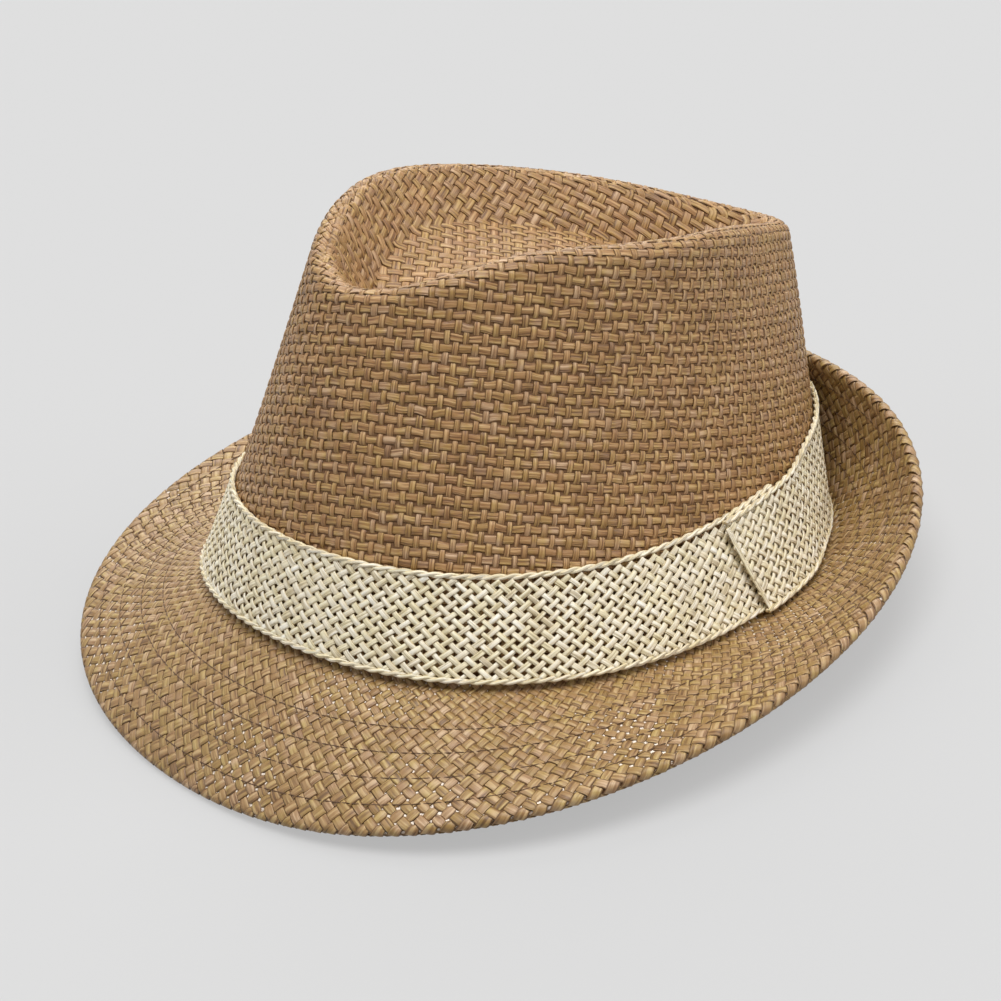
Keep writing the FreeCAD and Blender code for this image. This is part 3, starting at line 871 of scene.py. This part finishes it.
band_cloth = Cloth(band_surface, np.linspace(band_first - slant, band_last + slant, 800),
                   np.linspace(0, 1, 20))
band_ring = Ring(lambda a: band_surface(a, 0.5 + 0 * a), 1.0, band_first - slant,
                 band_last + slant)
count = band_ring.length / BRAID_RUN
band_ring.share = band_ring.share * count
band_strands = Strands(BRAID_THICKNESS)
tall = float(band_cloth.ends.mean())
for way in (1.0, -1.0):
    for strand in range(-BRAID_SPARE, int(count) + BRAID_SPARE):
        t = np.arange(0.0, 2.0 * tall / BRAID_RISE + 0.01, 0.25)
        distance = t / 2.0 * BRAID_RISE
        index = strand + way * t / 2.0
        angles = band_ring.straight(index + 0.04 * drift(t, 2.0))
        edge = slant * (2.0 * distance / tall - 1.0)
        keep = (angles > band_first - edge) & (angles < band_last - edge)
        closed = BRAID_CLOSED - BRAID_OPENING * np.cos(4.0 * (angles - BRAID_OPEN_AT))
        weave(band_strands, band_cloth, angles, distance, keep,
              way * BRAID_WAVE * brick(t), 0.0,
              BRAID_WIDTH * closed * chance.uniform(0.8, 1.12) * (1.0 + 0.08 * drift(t, 1.5)))
for ply in (0, 1):
    distance = np.arange(0.0, tall, 0.5)
    angles = (band_first - slant * (2.0 * distance / tall - 1.0)
              + (FOLD_INSET + FOLD_PITCH * ply) / BREAK[1])
    centre, normal = band_cloth.at(angles, distance)
    band_strands.add(centre + normal * col(0.3 - 0.15 * ply + 0.1 * drift(distance, 1.2)),
                     normal, FOLD_WIDTH)
hat_band = band_strands.piece("hat_band_braid", band_straw)
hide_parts("hat_band")


def twisted_cord(name, node_name, height):
    """Two straws twisted round each other along the band's edge."""
    strands = Strands(CORD_PLY_THICKNESS, ROUND)
    edge = slant * (2.0 * (height - BAND_FOOT) / BAND_HEIGHT - 1.0)
    angles = np.linspace(band_first - edge, band_last - edge, CORD_POINTS)
    line = on_band(angles, height)
    length = np.concatenate([[0.0], np.linalg.norm(np.diff(line, axis=0), axis=-1).cumsum()])
    out = outward(break_line, angles)
    rise = up(np.ones(len(angles)))
    for ply in (0, 1):
        turn = length / CORD_LAY * 2.0 * math.pi + ply * math.pi
        centre = line + (out * col(np.cos(turn)) + rise * col(np.sin(turn))) * CORD_OFFSET
        strands.add(centre, out, CORD_PLY)
    cord = strands.piece(name, band_straw)
    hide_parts(node_name)
    return cord


upper_cord = twisted_cord("band_cord_upper", "band_edge_cord_upper",
                          BAND_FOOT + BAND_HEIGHT - CORD_DIAMETER / 2)
lower_cord = twisted_cord("band_cord_lower", "band_edge_cord_lower",
                          BAND_FOOT + CORD_DIAMETER / 2)

# ---------------------------------------------------------------- sewing and sweatband

STITCH, STITCH_GAP = 3.2, 0.04          # of the brim: length, and the share of it that is gap
STITCH_THICKNESS, STITCH_WIDTH = 0.3, 0.34
STITCH_LIFT, STITCH_ARCH = 0.2, 0.3     # of its ends, and of its middle above them
SEAM_STITCH, SEAM_GAP = 3.5, 0.05       # of the sweatband's seam
SEAM_THICKNESS, SEAM_WIDTH, SEAM_ARCH = 0.45, 0.5, 0.25
STITCH_POINTS = 7


def sew(thread, ring, length, gap, width, path):
    """Stitches round a ring. path gives the points and normals of one from its angles and arch."""
    number = int(ring.length / length)
    arch = np.sin(np.linspace(0, math.pi, STITCH_POINTS)) ** 0.5
    for stitch in range(number):
        share = (stitch + np.linspace(gap, 1.0 - gap, STITCH_POINTS)) / number
        thread.add(*path(ring.straight(share), arch), width)


stitches = Strands(STITCH_THICKNESS, ROUND)
for row in range(STITCH_ROWS):
    at = 1.0 - STITCH_SHARE * (row + 1)
    sew(stitches, Ring(lambda a: brim(a, at), 1.0), STITCH, STITCH_GAP, STITCH_WIDTH,
        lambda a, arch: (brim(a, at, STITCH_LIFT + STITCH_ARCH * arch),
                         unit(brim(a, at, 1.0) - brim(a, at, 0.0))))
brim_stitching = stitches.piece("brim_stitching", thread_brown)
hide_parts("brim_stitch_rows")

TAPE_SEAT = 0.15                # between sweatband and joint tape
TAPE_START, TAPE_STOP = 2.0, 1.0        # above the seam, and below the sweatband's top
sweat_depth = 2.0 * CLOTH + 2.0 * SEAT
sweat_top = SWEATBAND_FOOT + SWEATBAND_HEIGHT
strip = grid(full_turn(360), np.linspace(SWEATBAND_FOOT, sweat_top, 14))
sweatband = shell("sweatband_tape", side(*strip, -sweat_depth),
                  side(*strip, -sweat_depth - SWEATBAND_THICKNESS), grosgrain)
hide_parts("sweatband")

half = TAPE_WIDTH / 2.0 / BREAK[1]
strip = grid(np.linspace(math.pi - half, math.pi + half, 9),
             np.linspace(SEAM_HEIGHT + TAPE_START, sweat_top - TAPE_STOP, 20))
tape_depth = sweat_depth + SWEATBAND_THICKNESS + TAPE_SEAT
joint_tape = shell("joint_tape", side(*strip, -tape_depth),
                   side(*strip, -tape_depth - TAPE_THICKNESS), grosgrain, closed=False)
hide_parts("sweatband_joint_tape")


def on_sweatband(angle, proud=0.0):
    return side(angle, SEAM_HEIGHT + 0 * angle, -sweat_depth - SWEATBAND_THICKNESS - proud)


seam = Strands(SEAM_THICKNESS, ROUND)
sew(seam, Ring(on_sweatband, 1.0), SEAM_STITCH, SEAM_GAP, SEAM_WIDTH,
    lambda a, arch: (on_sweatband(a, SEAM_ARCH * arch), -outward(break_line, a)))
sweat_seam = seam.piece("sweatband_seam", thread_brown)
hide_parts("sweatband_stitching")

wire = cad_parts["brim_edge_wire"]
wire.data.materials.clear()
wire.data.materials.append(wire_steel)

# ---------------------------------------------------------------- stage, light and camera

FLOOR_SIZE = 6.0                # from its middle to each side
FLOOR_GREY, PALE_GREY = "B6B6B6", "E0E0E0"
GLOW_SHARE = 0.6                # of the floor's look that no shadow darkens
ROOM_LIGHT = 0.16
floor_mesh = bpy.data.meshes.new("floor")
floor_mesh.from_pydata([(FLOOR_SIZE * x, FLOOR_SIZE * y, 0)
                        for x, y in ((-1, -1), (1, -1), (1, 1), (-1, 1))], [], [(0, 1, 2, 3)])
floor = bpy.data.objects.new("floor", floor_mesh)
bpy.context.scene.collection.objects.link(floor)


def seen(tree):
    """1 for what the camera sees, straight or by a reflection or through something clear."""
    path = node(tree, "ShaderNodeLightPath")
    share = path.outputs["Is Camera Ray"]
    for kind in ("Is Glossy Ray", "Is Transmission Ray"):
        share = node(tree, "ShaderNodeMath", {"operation": "MAXIMUM"},
                     {0: share, 1: path.outputs[kind]}).outputs[0]
    return share


floor_paper = bpy.data.materials.new("matt_pale_paper")
floor_paper.use_nodes = True
tree = floor_paper.node_tree
tree.nodes.clear()
paper = node(tree, "ShaderNodeBsdfPrincipled",
             {"Base Color": linear(FLOOR_GREY), "Roughness": 1.0, "Specular IOR Level": 0.0})
glow = node(tree, "ShaderNodeEmission", {"Color": linear(PALE_GREY), "Strength": 1.0})
share = node(tree, "ShaderNodeMath", {"operation": "MULTIPLY", 1: GLOW_SHARE}, {0: seen(tree)})
both = node(tree, "ShaderNodeMixShader", {}, {0: share.outputs[0], 1: paper.outputs[0],
                                              2: glow.outputs[0]})
node(tree, "ShaderNodeOutputMaterial", {}, {"Surface": both.outputs[0]})
floor_mesh.materials.append(floor_paper)

world = bpy.data.worlds.new("soft_room")
bpy.context.scene.world = world
world.use_nodes = True
tree = world.node_tree
tree.nodes.clear()
light = node(tree, "ShaderNodeBackground", {"Color": linear("FFFFFF"), "Strength": ROOM_LIGHT})
wall = node(tree, "ShaderNodeBackground", {"Color": linear(PALE_GREY), "Strength": 1.0})
both = node(tree, "ShaderNodeMixShader", {}, {0: seen(tree), 1: light.outputs[0],
                                              2: wall.outputs[0]})
node(tree, "ShaderNodeOutputWorld", {}, {"Surface": both.outputs[0]})


def sun(name, angle, rise, strength, softness):
    """A wide soft light from angle round the hat and rise above the floor, all in degrees."""
    lamp = bpy.data.lights.new(name, "SUN")
    lamp.energy = strength
    lamp.angle = math.radians(softness)
    ob = bpy.data.objects.new(name, lamp)
    a, e = math.radians(angle), math.radians(rise)
    toward = Vector((math.sin(a) * math.cos(e), -math.cos(a) * math.cos(e), math.sin(e)))
    ob.rotation_euler = toward.to_track_quat("Z", "Y").to_euler()
    bpy.context.scene.collection.objects.link(ob)


sun("key", 75.0, 84.0, 2.6, 45.0)
sun("back_fill", 235.0, 36.0, 1.3, 50.0)
sun("right_fill", 133.0, 38.0, 1.25, 45.0)
sun("left_fill", -35.0, 35.0, 0.42, 45.0)

a, e, r = CAMERA_ANGLE, CAMERA_RISE, CAMERA_ROLL
back = np.array([math.sin(a) * math.cos(e), -math.cos(a) * math.cos(e), math.sin(e)])
right = np.array([math.cos(a), math.sin(a), 0.0])
above = np.cross(back, right)
right, above = (right * math.cos(r) + above * math.sin(r),
                above * math.cos(r) - right * math.sin(r))
origin = to_table(np.zeros(3))
axes = [to_table(v) / MM - origin / MM for v in (right, above, back)]
eye = to_table(back * CAMERA_DISTANCE)
lens = bpy.data.cameras.new("camera")
lens.lens = CAMERA_LENS
lens.sensor_width = 36.0
lens.shift_x, lens.shift_y = CAMERA_SHIFT
lens.clip_end = 50.0
camera = bpy.data.objects.new("camera", lens)
camera.matrix_world = Matrix([[*(axis[k] for axis in axes), eye[k]] for k in range(3)]
                             + [[0, 0, 0, 1]])
bpy.context.scene.collection.objects.link(camera)
bpy.context.scene.camera = camera
bpy.context.scene.view_settings.view_transform = "Standard"
